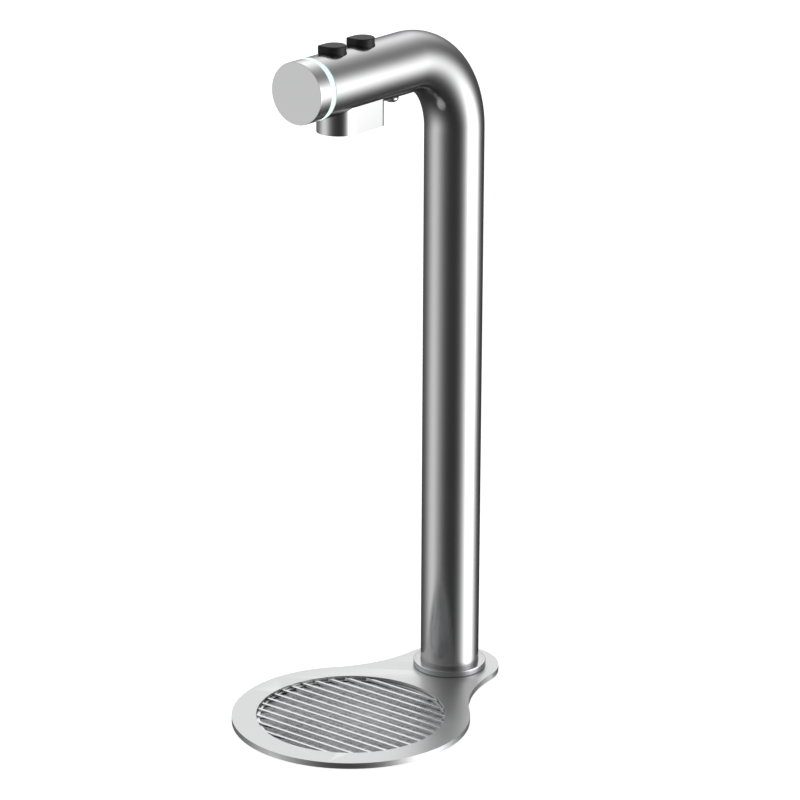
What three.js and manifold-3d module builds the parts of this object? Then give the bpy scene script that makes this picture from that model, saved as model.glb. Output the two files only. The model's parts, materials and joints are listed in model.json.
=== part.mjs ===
// Countertop water dispenser: a bent column with a spout, two drop-shaped buttons and a light ring,
// standing on a keyhole-shaped drip base. Millimetres, +Z up, the arm reaches towards -Y, and the
// counter is the plane Z = 0.
import * as THREE from "three";
import { mergeVertices } from "three/addons/utils/BufferGeometryUtils.js";
import Module from "manifold-3d";

// Driving dimensions
const GAP = 0.3; // clearance between pieces that touch
const TUBE_R = 20; // outside of the bent column
const TUBE_WALL = 1.5;
const BORE_R = TUBE_R - TUBE_WALL;
const BEND_R = 54; // centre line of the bend
const ARM_Z = 440; // arm axis above the counter
const PLATE_T = 4;
const DISC_R = 80; // round tray end of the base plate
const DISC_Y = -109; // its centre, from the column axis
const LOBE_R = 34; // rounded end of the plate under the column
const NECK_R = 90; // concave sides between the two
const TRAY_R = 63.5; // opening for the grille
const CAP_END = 162.5; // column axis to the face of the end cap
const CAP_START = 152.3;
const LIGHT_START = 148.1; // visible part of the light ring
const LIGHT_END = 152;
const BAR_COUNT = 14;
const BAR_PITCH = 8.6;
const BAR_WIDTH = 1.8;
const GRILLE_RIM_WIDTH = 2; // flat ring that joins the bars' ends
const GRILLE_RIM_HEIGHT = 0.5;
const GRILLE_TOP = PLATE_T - 1; // the bars lie a little below the plate's face
const KEY_R = 7.6; // round part of a drop-shaped button
const KEY_FLANGE = 0.9; // how far its foot stands out under the guide
const KEY_CLEARANCE = 0.4;
const KEY_TOP = 24.3; // above the arm axis
const KEY_Y = { front: -125.2, rear: -96.7 };
const SPOUT_HALF = 14.2;
const SPOUT_FRONT_Y = -121; // centre of the half-round front
const SPOUT_REAR_Y = -90;
const SPOUT_BOTTOM = -32; // below the arm axis
const SPOUT_WALL = 1.6;
const NOZZLE_X = 7.4;
const NOZZLE_Y = -116;
const HOSE_R = 3.175;
const HOSE_Z = -11; // hoses in the arm, below its axis
const LEAD_R = 2.2;
const LEAD_Z = 7;
const INLET_X = 5.9; // push-fit inlets in the foot
const INLET_Y = -2.5;
const SEGMENTS = 32;

const wasm = await Module();
wasm.setup();

// ---- Shared helpers -------------------------------------------------------------------------

const v2 = (x, y) => new THREE.Vector2(x, y);
const v3 = (x, y, z) => new THREE.Vector3(x, y, z);

/** A closed geometry as a manifold solid, for joining and cutting. */
function solid(geometry) {
  const plain = geometry.clone();
  plain.deleteAttribute("normal");
  plain.deleteAttribute("uv");
  const merged = mergeVertices(plain, 1e-4);
  return new wasm.Manifold(
    new wasm.Mesh({
      numProp: 3,
      vertProperties: new Float32Array(merged.attributes.position.array),
      triVerts: new Uint32Array(merged.index.array),
    }),
  );
}

/** A manifold solid back as a geometry. */
function geometryOf(manifold) {
  const mesh = manifold.getMesh();
  const geometry = new THREE.BufferGeometry();
  geometry.setAttribute("position", new THREE.BufferAttribute(mesh.vertProperties, 3));
  geometry.setIndex(new THREE.BufferAttribute(mesh.triVerts, 1));
  geometry.computeVertexNormals();
  return geometry;
}

/** The first geometry joined with the others. */
function join(first, ...others) {
  return geometryOf(others.reduce((sum, g) => sum.add(solid(g)), solid(first)));
}

/** The first geometry with the others cut away. */
function cut(first, ...tools) {
  return geometryOf(tools.reduce((rest, g) => rest.subtract(solid(g)), solid(first)));
}

/** A box between two corners. */
function block(x0, x1, y0, y1, z0, z1) {
  const geometry = new THREE.BoxGeometry(x1 - x0, y1 - y0, z1 - z0);
  return geometry.translate((x0 + x1) / 2, (y0 + y1) / 2, (z0 + z1) / 2);
}

/** A profile of [radius, height] pairs turned about the vertical axis. */
function turned(profile, segments = SEGMENTS) {
  const points = profile.map(([r, z]) => v2(r, z));
  return new THREE.LatheGeometry(points, segments).rotateX(Math.PI / 2);
}

/** A hollow profile, which closes on itself, turned about the vertical axis. */
function turnedRing(profile, segments = SEGMENTS) {
  return turned([...profile, profile[0]], segments);
}

/** A ring of [radius, distance along the arm] pairs, turned about the arm's axis. */
function armRing(profile, segments = SEGMENTS) {
  const points = [...profile, profile[0]].map(([r, d]) => v2(r, d));
  return new THREE.LatheGeometry(points, segments).rotateX(Math.PI);
}

/** A plain vertical cylinder between two heights. */
function rod(radius, z0, z1, x = 0, y = 0, segments = 16) {
  const profile = [[0, z0], [radius, z0], [radius, z1], [0, z1]];
  return turned(profile, segments).translate(x, y, 0);
}

/** A plain washer between two heights. */
function washer(inner, outer, z0, z1, segments = SEGMENTS) {
  return turnedRing([[outer, z0], [outer, z1], [inner, z1], [inner, z0]], segments);
}

/** A plan outline raised from z0 to z1, with each of its arcs in arcSteps straight lines. */
function raised(shape, z0, z1, arcSteps = 20) {
  const options = { depth: z1 - z0, bevelEnabled: false, curveSegments: arcSteps / 2 };
  return new THREE.ExtrudeGeometry(shape, options).translate(0, 0, z0);
}

/** A section that follows a curve, with each of the section's arcs in arcSteps straight lines. */
function swept(section, curve, arcSteps, steps) {
  const options = { steps, curveSegments: arcSteps / 2, extrudePath: curve };
  return new THREE.ExtrudeGeometry(section, options);
}

/** A thin round rod with eight sides that follows a curve. */
function rodAlong(curve, radius, steps) {
  const section = new THREE.Shape();
  section.absarc(0, 0, radius, 0, 2 * Math.PI, false);
  return swept(section, curve, 8, steps);
}

const STEEL = { color: 0xb9babd, roughness: 0.3, metalness: 1 };
const POLISHED = { color: 0xd6d7da, roughness: 0.08, metalness: 1 };
const BLACK_PLASTIC = { color: 0x222222, roughness: 0.6, metalness: 0 };
const GREY_PLASTIC = { color: 0x4a4d50, roughness: 0.55, metalness: 0 };
const DIFFUSER = { color: 0xe9fcff, roughness: 0.4, metalness: 0 };
const BOARD = { color: 0x1f6b45, roughness: 0.5, metalness: 0 };
const RUBBER = { color: 0x1c1c1d, roughness: 0.85, metalness: 0 };
const HOSE = { color: 0xe8ebee, roughness: 0.35, metalness: 0 };
const BRASS = { color: 0xb8924a, roughness: 0.3, metalness: 1 };

/** A named mesh in a parent group. */
function piece(parent, name, geometry, finish) {
  const mesh = new THREE.Mesh(geometry, new THREE.MeshStandardMaterial(finish));
  mesh.name = name;
  parent.add(mesh);
}

// ---- Base: plate, pan, grille, seals --------------------------------------------------------

/** Keyhole outline: a lobe round the column, a disc round the tray, concave necks between them. */
function plateOutline() {
  const toLobe = LOBE_R + NECK_R;
  const toDisc = DISC_R + NECK_R;
  const neckY = (toLobe ** 2 - toDisc ** 2 + DISC_Y ** 2) / (2 * DISC_Y);
  const neckX = Math.sqrt(toLobe ** 2 - neckY ** 2);
  const lobeAngle = Math.atan2(neckY, neckX);
  const discAngle = Math.atan2(neckY - DISC_Y, neckX);
  const outline = new THREE.Shape();
  outline.absarc(0, DISC_Y, DISC_R, Math.PI - discAngle, 2 * Math.PI + discAngle, false);
  outline.absarc(neckX, neckY, NECK_R, Math.PI + discAngle, Math.PI + lobeAngle, true);
  outline.absarc(0, 0, LOBE_R, lobeAngle, Math.PI - lobeAngle, false);
  outline.absarc(-neckX, neckY, NECK_R, -lobeAngle, -discAngle, true);
  return outline;
}

const HOSE_HOLE_R = 11.6;
const PAN_FLANGE_R = 66.7;
const PAN_TOP = 1;
const SCREW_CIRCLE_R = 15.6;
const SCREW_R = 1.5;
const SCREW_ANGLES = [90, 210, 330].map(THREE.MathUtils.degToRad);

/** Countersunk screw profile from the underside, grown for the hole that takes it. */
function countersunk(grow) {
  return turned(
    [
      [0, GAP - grow * 2],
      [3 + grow * 2, GAP - grow * 2],
      [SCREW_R + grow, 1.8],
      [SCREW_R + grow, 16 + grow],
      [0, 16 + grow],
    ],
    16,
  );
}

function atScrews(geometry, angle) {
  const x = SCREW_CIRCLE_R * Math.cos(angle);
  const y = SCREW_CIRCLE_R * Math.sin(angle);
  return geometry.translate(x, y, 0);
}

const COLUMN_SEAL = { inner: 24, outer: 29 };
const TRAY_SEAL = { inner: 70, outer: 75 };
const SEAL_BOTTOM = 0.1;
const SEAL_TOP = 1.2;

function grooveFor(seal) {
  return washer(seal.inner - GAP, seal.outer + GAP, -1, SEAL_TOP + GAP);
}

function basePlate() {
  return cut(
    raised(plateOutline(), 0, PLATE_T, 40),
    rod(TRAY_R, -1, PLATE_T + 1, 0, DISC_Y, 48),
    rod(PAN_FLANGE_R + GAP, -1, PAN_TOP + GAP, 0, DISC_Y, 48),
    rod(HOSE_HOLE_R, -1, PLATE_T + 1),
    grooveFor(COLUMN_SEAL),
    grooveFor(TRAY_SEAL).translate(0, DISC_Y, 0),
    ...SCREW_ANGLES.map((angle) => atScrews(countersunk(GAP), angle)),
  );
}

/** Shallow pan under the grille, with its flange in the plate's underside. */
function dripPan() {
  const floor = 0.2;
  const profile = [
    [0, floor],
    [PAN_FLANGE_R, floor],
    [PAN_FLANGE_R, PAN_TOP],
    [TRAY_R - 2, PAN_TOP],
    [TRAY_R - 4, PAN_TOP - 0.2],
    [0, PAN_TOP - 0.35],
  ];
  return turned(profile, 48).translate(0, DISC_Y, 0);
}

/** Straight bars across the tray, on a thin flat ring under their ends. */
function dripGrille() {
  const reach = TRAY_R - 0.5;
  const bottom = PAN_TOP + GAP;
  const bars = [];
  for (let i = 0; i < BAR_COUNT; i++) {
    const y = (i - (BAR_COUNT - 1) / 2) * BAR_PITCH;
    const half = Math.sqrt(reach ** 2 - (Math.abs(y) + BAR_WIDTH / 2) ** 2);
    bars.push(block(-half, half, y - BAR_WIDTH / 2, y + BAR_WIDTH / 2, bottom, GRILLE_TOP));
  }
  const rim = washer(reach - GRILLE_RIM_WIDTH, reach, bottom, bottom + GRILLE_RIM_HEIGHT, 96);
  return join(rim, ...bars).translate(0, DISC_Y, 0);
}

function addBase(parent) {
  piece(parent, "base_plate", basePlate(), STEEL);
  piece(parent, "drip_pan", dripPan(), STEEL);
  piece(parent, "drip_grille", dripGrille(), STEEL);
  const columnSeal = washer(COLUMN_SEAL.inner, COLUMN_SEAL.outer, SEAL_BOTTOM, SEAL_TOP);
  const traySeal = washer(TRAY_SEAL.inner, TRAY_SEAL.outer, SEAL_BOTTOM, SEAL_TOP);
  piece(parent, "column_seal", columnSeal, RUBBER);
  piece(parent, "tray_seal", traySeal.translate(0, DISC_Y, 0), RUBBER);
}

// ---- Foot: collar, spigot, screws, inlets ---------------------------------------------------

const FOOT_Z = PLATE_T + GAP;
const SPIGOT_TOP = 34;
const INLET_R = 4.8;
const INLET_TOP = 34;
const LEAD_PLUG_R = 2.9;

function footCollar() {
  const inner = TUBE_R + GAP;
  const top = FOOT_Z + 3.9;
  return turnedRing([[25, FOOT_Z], [25, top - 0.6], [24.4, top], [inner, top], [inner, FOOT_Z]], 48);
}

/** Turned insert that carries the column and holds the inlets in a web. */
function footSpigot() {
  const shell = washer(11.5, BORE_R - GAP, FOOT_Z, SPIGOT_TOP);
  const web = rod(12, 20, 23, 0, 0, SEGMENTS);
  const hole = INLET_R + GAP;
  return cut(
    join(shell, web),
    rod(hole, 10, SPIGOT_TOP - 2, INLET_X, INLET_Y),
    rod(hole, 10, SPIGOT_TOP - 2, -INLET_X, INLET_Y),
    rod(LEAD_PLUG_R + GAP, 10, SPIGOT_TOP - 2, 0, LEAD_Z),
    ...SCREW_ANGLES.map((angle) => atScrews(rod(SCREW_R + GAP, 0, 17), angle)),
  );
}

/** Countersunk screw with a hexagon socket, up through the plate into the spigot. */
function columnScrew(angle) {
  const socket = rod(1.1, -1, 1.6, 0, 0, 6);
  return atScrews(cut(countersunk(0), socket), angle);
}

/** Push-fit coupler: the supply tube enters from below and the inner hose from above. */
function inlet(x) {
  const profile = [
    [4, 6],
    [4, 7.5],
    [INLET_R, 7.5],
    [INLET_R, INLET_TOP - 1.5],
    [4, INLET_TOP - 1.5],
    [4, INLET_TOP],
    [HOSE_R + GAP, INLET_TOP],
    [HOSE_R + GAP, 26],
    [2, 26],
    [2, 18],
    [HOSE_R + GAP, 18],
    [HOSE_R + GAP, 6],
  ];
  return turnedRing(profile, 16).translate(x, INLET_Y, 0);
}

/** Round plug of the internal lead, with a recess for the mating plug. */
function leadPlug() {
  const profile = [
    [LEAD_PLUG_R, 8],
    [LEAD_PLUG_R, 27],
    [1.8, 30],
    [0, 30],
    [0, 14],
    [2.1, 14],
    [2.1, 8],
  ];
  return turnedRing(profile, 16).translate(0, LEAD_Z, 0);
}

function addFoot(parent) {
  piece(parent, "foot_collar", footCollar(), STEEL);
  piece(parent, "foot_spigot", footSpigot(), STEEL);
  SCREW_ANGLES.forEach((angle, i) => {
    piece(parent, `column_screw_${i + 1}`, columnScrew(angle), STEEL);
  });
  piece(parent, "left_inlet", inlet(-INLET_X), GREY_PLASTIC);
  piece(parent, "right_inlet", inlet(INLET_X), GREY_PLASTIC);
  piece(parent, "lead_plug", leadPlug(), BLACK_PLASTIC);
}

// ---- Column: one bent tube ------------------------------------------------------------------

/** The tube's centre line: up, round the bend, and out along the arm, with stations where it turns. */
class ColumnLine extends THREE.Curve {
  constructor(bendSteps, armEnd) {
    super();
    this.stations = [v3(0, 0, FOOT_Z)];
    this.tangents = [v3(0, 0, 1)];
    for (let i = 0; i <= bendSteps; i++) {
      const turn = ((Math.PI / 2) * i) / bendSteps;
      const y = BEND_R * (Math.cos(turn) - 1);
      const z = ARM_Z - BEND_R + BEND_R * Math.sin(turn);
      this.stations.push(v3(0, y, z));
      this.tangents.push(v3(0, -Math.sin(turn), Math.cos(turn)));
    }
    this.stations.push(v3(0, -armEnd, ARM_Z));
    this.tangents.push(v3(0, -1, 0));
  }
  index(t) {
    return Math.round(t * (this.stations.length - 1));
  }
  getPointAt(t) {
    return this.stations[this.index(t)].clone();
  }
  getPoint(t) {
    return this.getPointAt(t);
  }
  getTangentAt(t) {
    return this.tangents[this.index(t)].clone();
  }
}

/** Plan outline of a button: a circle with one square corner, which points forward and left. */
function dropShape(radius) {
  const shape = new THREE.Shape();
  shape.moveTo(-radius, -radius);
  shape.lineTo(0, -radius);
  shape.absarc(0, 0, radius, -Math.PI / 2, Math.PI, false);
  shape.closePath();
  return shape;
}

/** A drop-shaped prism at a button's place, in heights above the arm axis. */
function dropPrism(grow, y, z0, z1) {
  return raised(dropShape(KEY_R + grow), z0, z1, 18).translate(0, y, 0);
}

const RETAINER_Y = -67;
const SPOUT_SCREW_Y = -98;

function columnTube() {
  const line = new ColumnLine(15, LIGHT_START - GAP);
  const section = new THREE.Shape();
  section.absarc(0, 0, TUBE_R, 0, 2 * Math.PI, false);
  const bore = new THREE.Path();
  bore.absarc(0, 0, BORE_R, 0, 2 * Math.PI, true);
  section.holes.push(bore);
  const tube = swept(section, line, 32, line.stations.length - 1);
  const openings = [
    dropPrism(KEY_CLEARANCE, KEY_Y.front, 12, 30),
    dropPrism(KEY_CLEARANCE, KEY_Y.rear, 12, 30),
    block(-12.4, 12.4, -121.6, -110.4, -30, -10),
    rod(2 + GAP, -30, -10, 0, RETAINER_Y, 16),
    rod(1.5 + GAP, -30, -10, 0, SPOUT_SCREW_Y, 16),
  ];
  return cut(tube, ...openings.map((g) => g.translate(0, 0, ARM_Z)));
}

/** Disc in the column that keeps the hoses and the lead apart. */
function hoseSpacer(z) {
  const hole = HOSE_R + GAP;
  const disc = rod(BORE_R - 0.4, z, z + 6, 0, 0, 32);
  return cut(
    disc,
    rod(hole, z - 1, z + 7, NOZZLE_X, HOSE_Z, 16),
    rod(hole, z - 1, z + 7, -NOZZLE_X, HOSE_Z, 16),
    rod(LEAD_R + GAP, z - 1, z + 7, 0, LEAD_Z, 16),
  );
}

/** Quarter turn at a distance inside (negative) or outside (positive) the column's centre line. */
function bendPoints(x, offset, count) {
  const radius = BEND_R + offset;
  return Array.from({ length: count + 1 }, (_, i) => {
    const turn = ((Math.PI / 2) * i) / count;
    const y = -BEND_R + radius * Math.cos(turn);
    return v3(x, y, ARM_Z - BEND_R + radius * Math.sin(turn));
  });
}

/** Water hose from its inlet in the foot to the elbow of its nozzle. */
function hose(side) {
  const x = side * NOZZLE_X;
  const route = [
    v3(side * INLET_X, INLET_Y, 26 + GAP),
    v3(side * INLET_X, INLET_Y, 36),
    v3(side * INLET_X, INLET_Y, 50),
    v3(side * 6.4, -5, 90),
    v3(side * 7.1, -9, 140),
    v3(x, HOSE_Z, 185),
    v3(x, HOSE_Z, 270),
    v3(x, HOSE_Z, 350),
    ...bendPoints(x, HOSE_Z, 6),
    v3(x, -80, ARM_Z + HOSE_Z),
    v3(x, -96, ARM_Z + HOSE_Z),
    v3(x, -109.2, ARM_Z + HOSE_Z),
  ];
  return rodAlong(new THREE.CatmullRomCurve3(route), HOSE_R, 44);
}

/** Lead for the switches and the light, from its plug in the foot to the switch board. */
function powerLead() {
  const route = [
    v3(0, LEAD_Z, 30 + GAP),
    v3(0, LEAD_Z, 120),
    v3(0, LEAD_Z, 220),
    v3(0, LEAD_Z, 320),
    ...bendPoints(0, LEAD_Z, 6),
    v3(0, -65, ARM_Z + 6.3),
    v3(0, -76.6, ARM_Z + 5.2),
  ];
  return rodAlong(new THREE.CatmullRomCurve3(route), LEAD_R, 40);
}

function addColumn(parent) {
  piece(parent, "column_tube", columnTube(), STEEL);
  piece(parent, "hose_spacer_lower", hoseSpacer(200), GREY_PLASTIC);
  piece(parent, "hose_spacer_upper", hoseSpacer(340), GREY_PLASTIC);
  piece(parent, "left_hose", hose(-1), HOSE);
  piece(parent, "right_hose", hose(1), HOSE);
  piece(parent, "power_lead", powerLead(), RUBBER);
}

// ---- Arm end: light ring and cap ------------------------------------------------------------

/** Translucent ring that shows light all round the arm, with a spigot into the tube. */
function lightRing() {
  const inner = 16.5;
  const spigot = BORE_R - GAP;
  return armRing(
    [
      [spigot, 143.5],
      [spigot, LIGHT_START],
      [TUBE_R, LIGHT_START],
      [TUBE_R, LIGHT_END],
      [inner, LIGHT_END],
      [inner, 143.5],
    ],
    48,
  );
}

/** Ring-shaped board with lamps round its front face. */
function ledBoard() {
  const disc = armRing([[15.4, 148.3], [15.4, 149.9], [7, 149.9], [7, 148.3]], 32);
  const lamps = Array.from({ length: 8 }, (_, i) => {
    const lamp = block(9.2, 11.4, -150.7, -149.5, -0.8, 0.8);
    return lamp.rotateY((i * Math.PI) / 4);
  });
  return join(disc, ...lamps);
}

/** Cup-shaped steel cap: a flat face, a turned side and a spigot for the seal. */
function endCap() {
  const profile = [
    [13, 150.9],
    [15, 150.9],
    [15, CAP_START],
    [TUBE_R, CAP_START],
    [TUBE_R, CAP_END - 0.5],
    [TUBE_R - 0.5, CAP_END],
    [0, CAP_END],
    [0, CAP_END - 3],
    [13, CAP_END - 3],
    [13, 150.9],
  ].map(([r, d]) => v2(r, d));
  return new THREE.LatheGeometry(profile, 48).rotateX(Math.PI);
}

function capSeal() {
  const seal = new THREE.TorusGeometry(15.75, 0.6, 6, SEGMENTS);
  return seal.rotateX(Math.PI / 2).translate(0, -151.6, 0);
}

function addArmEnd(arm) {
  piece(arm, "light_ring", lightRing(), DIFFUSER);
  piece(arm, "led_board", ledBoard(), BOARD);
  piece(arm, "end_cap", endCap(), STEEL);
  piece(arm, "cap_seal", capSeal(), RUBBER);
}

// ---- Buttons and switches -------------------------------------------------------------------

const FLANGE_BOTTOM = 8.9;
const FLANGE_TOP = 10.2;
const CARRIER_TOP = 0.7;
const BOARD_BOTTOM = CARRIER_TOP + GAP;
const BOARD_TOP = BOARD_BOTTOM + 1.6;

/** Drop-shaped key with a flange that keeps it under the guide. */
function button(y) {
  const body = dropPrism(0, y, FLANGE_TOP - 0.5, KEY_TOP);
  const flange = dropPrism(KEY_FLANGE, y, FLANGE_BOTTOM, FLANGE_TOP);
  return join(body, flange);
}

/** Silicone dome round a switch, which pushes its button back up. */
function returnDome(y) {
  const foot = BOARD_TOP + GAP;
  const top = FLANGE_BOTTOM - GAP;
  const profile = [
    [7.4, foot],
    [7.4, foot + 0.8],
    [6.3, foot + 1.4],
    [5.6, top],
    [4.8, top],
    [5.5, foot + 1.1],
    [5.5, foot],
  ];
  return turnedRing(profile, 20).translate(0, y, 0);
}

function tactSwitch(y) {
  const foot = BOARD_TOP + GAP;
  const body = block(-3, 3, y - 3, y + 3, foot, foot + 3.4);
  return join(body, rod(1.75, foot + 3, foot + 4.5, 0, y, 20));
}

/** Inverted channel over the switch board, with a pocket for each button. */
function buttonGuide() {
  const channel = block(-12.3, 12.3, -142.5, -85.5, BOARD_BOTTOM, 12.8);
  return cut(
    channel,
    block(-11, 11, -150, -80, 0, FLANGE_TOP + GAP),
    dropPrism(KEY_CLEARANCE, KEY_Y.front, 5, 20),
    dropPrism(KEY_CLEARANCE, KEY_Y.rear, 5, 20),
  );
}

/** Chassis in the arm: a flat tray that the boards sit on, with a boss for its screw. */
function armCarrier() {
  const tray = block(-17.8, 17.8, -143, -60, CARRIER_TOP - 2, CARRIER_TOP);
  const boss = rod(3.7, -17.5, CARRIER_TOP - 1, 0, RETAINER_Y);
  return cut(join(tray, boss), rod(2 + GAP, -20, -5, 0, RETAINER_Y));
}

/** Domed screw under the arm that holds the chassis. */
function retainingScrew() {
  const under = -TUBE_R - GAP;
  const profile = [
    [0, -23.4],
    [2.6, -23.2],
    [3.8, -22.5],
    [4.5, -21.3],
    [4.5, under],
    [2, under],
    [2, -6],
    [0, -6],
  ];
  const socket = rod(1.6, -25, -22, 0, 0, 6);
  return cut(turned(profile, 24), socket).translate(0, RETAINER_Y, 0);
}

function addControls(arm) {
  for (const [place, y] of Object.entries(KEY_Y)) {
    piece(arm, `${place}_button`, button(y), BLACK_PLASTIC);
    piece(arm, `${place}_return_dome`, returnDome(y), RUBBER);
    piece(arm, `${place}_switch`, tactSwitch(y), BLACK_PLASTIC);
  }
  const board = block(-10.7, 10.7, -140.7, -76, BOARD_BOTTOM, BOARD_TOP);
  const socket = block(-4, 4, -84, -77, BOARD_TOP + GAP, BOARD_TOP + 5);
  const ribbon = block(-2.5, 2.5, -147.9, -139.4, BOARD_TOP + GAP, BOARD_TOP + 1.1);
  piece(arm, "button_guide", buttonGuide(), GREY_PLASTIC);
  piece(arm, "switch_board", board, BOARD);
  piece(arm, "board_socket", socket, HOSE);
  piece(arm, "led_ribbon", ribbon, RUBBER);
  piece(arm, "arm_carrier", armCarrier(), GREY_PLASTIC);
  piece(arm, "retaining_screw", retainingScrew(), POLISHED);
}

// ---- Spout ----------------------------------------------------------------------------------

/** Plan outline of the spout block, half-round in front and square behind. */
function spoutOutline(inset) {
  const half = SPOUT_HALF - inset;
  const rear = SPOUT_REAR_Y - inset;
  const corner = 2.5 - inset;
  const outline = new THREE.Shape();
  outline.absarc(0, SPOUT_FRONT_Y, half, Math.PI, 2 * Math.PI, false);
  if (corner > 0) {
    outline.absarc(half - corner, rear - corner, corner, 0, Math.PI / 2, false);
    outline.absarc(corner - half, rear - corner, corner, Math.PI / 2, Math.PI, false);
  } else {
    outline.lineTo(half, rear);
    outline.lineTo(-half, rear);
  }
  outline.closePath();
  return outline;
}

/** Open-topped steel housing that fits the underside of the arm. */
function spoutHousing() {
  const floor = SPOUT_BOTTOM + SPOUT_WALL;
  const tubeSide = new THREE.CylinderGeometry(TUBE_R + GAP, TUBE_R + GAP, 100, 72);
  const shell = cut(
    raised(spoutOutline(0), SPOUT_BOTTOM, -10),
    raised(spoutOutline(SPOUT_WALL), floor, 0),
  );
  return cut(
    join(shell, rod(3.2, floor - 0.5, -18, 0, SPOUT_SCREW_Y)),
    tubeSide.translate(0, SPOUT_FRONT_Y, 0),
    rod(5.1, SPOUT_BOTTOM - 1, floor + 1, NOZZLE_X, NOZZLE_Y),
    rod(5.1, SPOUT_BOTTOM - 1, floor + 1, -NOZZLE_X, NOZZLE_Y),
    rod(1.8, floor + 1, 0, 0, SPOUT_SCREW_Y, 16),
  );
}

/** Outlet nozzle with a push-fit elbow towards the hose. */
function nozzle() {
  const body = turned(
    [[0, -31.7], [4.8, -31.7], [4.8, -22], [4, -20], [4, -7], [0, -7]],
    20,
  );
  const collar = new THREE.CylinderGeometry(4.6, 4.6, 11, 20).translate(0, 7.5, HOSE_Z);
  const hoseBore = new THREE.CylinderGeometry(HOSE_R + GAP, HOSE_R + GAP, 9, 16);
  const waterway = new THREE.CylinderGeometry(2, 2, 10, 12).translate(0, 3.5, HOSE_Z);
  return cut(
    join(body, collar),
    hoseBore.translate(0, 11, HOSE_Z),
    waterway,
    rod(3, -40, -24),
    rod(2, -25, HOSE_Z),
  );
}

/** Star-shaped flow straightener in the mouth of a nozzle. */
function flowInsert() {
  const vanes = [0, 1, 2].map((i) =>
    block(-2.6, 2.6, -0.3, 0.3, -31.2, -26.5).rotateZ((i * Math.PI) / 3),
  );
  return join(...vanes);
}

/** Small screw inside the arm that holds the spout housing. */
function spoutScrew() {
  const under = -BORE_R + 0.35;
  const profile = [[0, -29], [1.5, -29], [1.5, under], [2.7, under], [2.7, -16.4], [0, -16.4]];
  return turned(profile, 20).translate(0, SPOUT_SCREW_Y, 0);
}

function addSpout(arm) {
  piece(arm, "spout_housing", spoutHousing(), POLISHED);
  piece(arm, "spout_screw", spoutScrew(), STEEL);
  for (const [side, x] of [["left", -NOZZLE_X], ["right", NOZZLE_X]]) {
    piece(arm, `${side}_nozzle`, nozzle().translate(x, NOZZLE_Y, 0), BRASS);
    piece(arm, `${side}_flow_insert`, flowInsert().translate(x, NOZZLE_Y, 0), GREY_PLASTIC);
  }
}

// ---- The whole dispenser --------------------------------------------------------------------

// The part's origin is the middle of its footprint, so the column stands behind it.
const dispenser = new THREE.Group();
dispenser.position.y = (DISC_R - DISC_Y - LOBE_R) / 2;
addBase(dispenser);
addFoot(dispenser);
addColumn(dispenser);

const arm = new THREE.Group();
arm.position.z = ARM_Z;
dispenser.add(arm);
addArmEnd(arm);
addControls(arm);
addSpout(arm);

export default dispenser;
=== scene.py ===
# %% [markdown]
# # A countertop water dispenser
#
# A bent steel column with a spout, two buttons and a light ring on its arm stands on a flat base with
# a drip grille. The frame below holds its CAD pieces, each with its place moved into its mesh. The visible
# pieces are modelled again here with a finer surface, at the places that the frame gives, each on its body.

# %% The frame
import json
import math

import bpy
from mathutils import Matrix, Vector


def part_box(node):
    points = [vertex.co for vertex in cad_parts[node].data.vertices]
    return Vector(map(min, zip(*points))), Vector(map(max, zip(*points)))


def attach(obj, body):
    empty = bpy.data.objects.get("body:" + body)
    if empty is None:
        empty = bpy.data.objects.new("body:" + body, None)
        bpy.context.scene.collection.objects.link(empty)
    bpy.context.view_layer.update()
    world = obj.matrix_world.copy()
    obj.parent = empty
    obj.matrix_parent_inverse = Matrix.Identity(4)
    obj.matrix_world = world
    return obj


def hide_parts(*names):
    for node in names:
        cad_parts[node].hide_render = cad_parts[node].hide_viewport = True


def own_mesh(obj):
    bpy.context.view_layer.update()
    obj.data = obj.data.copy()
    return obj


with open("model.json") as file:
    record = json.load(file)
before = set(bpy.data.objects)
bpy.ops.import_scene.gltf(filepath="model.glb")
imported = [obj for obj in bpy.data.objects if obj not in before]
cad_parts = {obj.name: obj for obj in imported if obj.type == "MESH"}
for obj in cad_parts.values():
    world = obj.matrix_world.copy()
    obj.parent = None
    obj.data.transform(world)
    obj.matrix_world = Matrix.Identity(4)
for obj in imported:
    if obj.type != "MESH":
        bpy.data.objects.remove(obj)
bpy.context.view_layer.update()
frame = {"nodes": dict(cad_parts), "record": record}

MM = 0.001

# %% [markdown]
# ## Camera
#
# A long lens far from the object keeps the column's sides almost parallel. The view is a little from
# above and from the right of the arm, so that the cap's face, the side of the arm and the whole
# grille all show. A camera looks along its own -Z, so a quaternion that tracks the target with -Z
# turns it, and a slight roll is added about the line of sight.

# %% Camera
CAMERA_PLACE = Vector((1.3670, -1.7333, 0.9682))
CAMERA_TARGET = Vector((0.0055, 0.0135, 0.2149))
CAMERA_LENS_MM = 159.7
CAMERA_ROLL = math.radians(0.24)

camera = bpy.data.objects.new("camera", bpy.data.cameras.new("camera"))
bpy.context.scene.collection.objects.link(camera)
sight = CAMERA_TARGET - CAMERA_PLACE
turn = sight.to_track_quat("-Z", "Y").to_matrix().to_4x4()
camera.matrix_world = Matrix.Translation(CAMERA_PLACE) @ turn @ Matrix.Rotation(CAMERA_ROLL, 4, "Z")
camera.data.lens = CAMERA_LENS_MM
camera.data.sensor_width = 36
camera.data.clip_end = 20
bpy.context.scene.camera = camera
bpy.context.scene.view_settings.view_transform = "Standard"
print("camera stands", round(sight.length, 3), "m away")

# %% [markdown]
# ## Studio light
#
# Satin steel has almost no look of its own: what it shows is the studio. A product studio has
# large soft boxes beside and behind the object and leave the room dark in front. Lamps and cards
# could do that, but a world made of soft lobes of light is smoother and has no edges to place. Each
# lobe has a direction, a tightness and a strength, and fades as the angle to its direction grows.

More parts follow.
